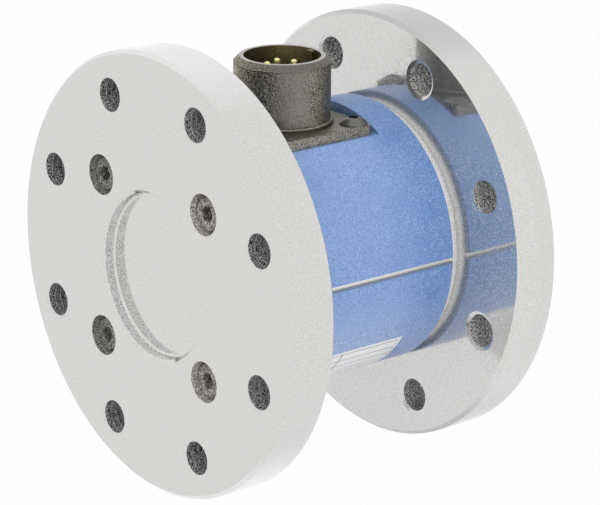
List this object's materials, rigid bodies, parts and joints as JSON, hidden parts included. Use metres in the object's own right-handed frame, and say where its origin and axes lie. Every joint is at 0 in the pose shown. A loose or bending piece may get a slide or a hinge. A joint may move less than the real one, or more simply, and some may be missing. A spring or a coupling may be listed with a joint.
{
  "type": "static torque sensor",
  "caption": "Flange-to-flange static torque sensor with a split round housing between two drilled discs and a round pin receptacle on top.",
  "frame": {"origin": "centre of the front flange's outer face, on the torque axis", "axes": "+X along the torque axis from the front flange to the rear flange, +Z along the receptacle's axis, +Y to the left seen from the front flange"},
  "size_m": [0.0665, 0.09, 0.09],
  "materials": {
    "polished_steel": "polished",
    "blue_cover": "blue anodised",
    "gasket": "matt",
    "felt": "matt",
    "screw_steel": "satin",
    "receptacle_shell": "olive drab plating",
    "insert": "matt",
    "gold_contact": "gold plated",
    "seal_rubber": "matt",
    "dark_screws": "satin",
    "label": "satin",
    "gauge_foil": "foil on film",
    "board": "lacquered",
    "lead_cover": "satin"
  },
  "bodies": {
    "root": {"torsion_body": "polished_steel", "upper_cover": "blue_cover", "lower_cover": "blue_cover", "left_seam_gasket": "gasket", "right_seam_gasket": "gasket", "felt_strip": "felt", "housing_screws": "screw_steel", "seam_dowels": "screw_steel", "connector_shell": "receptacle_shell", "connector_insert": "insert", "insert_retaining_ring": "screw_steel", "contact_pin_1": "gold_contact", "contact_pin_2": "gold_contact", "contact_pin_3": "gold_contact", "contact_pin_4": "gold_contact", "contact_pin_5": "gold_contact", "connector_seal": "seal_rubber", "connector_screws": "dark_screws", "label": "label", "strain_gauge_1": "gauge_foil", "strain_gauge_2": "gauge_foil", "strain_gauge_3": "gauge_foil", "strain_gauge_4": "gauge_foil", "terminal_board": "board", "lead_wires": "lead_cover"}
  },
  "joints": []
}
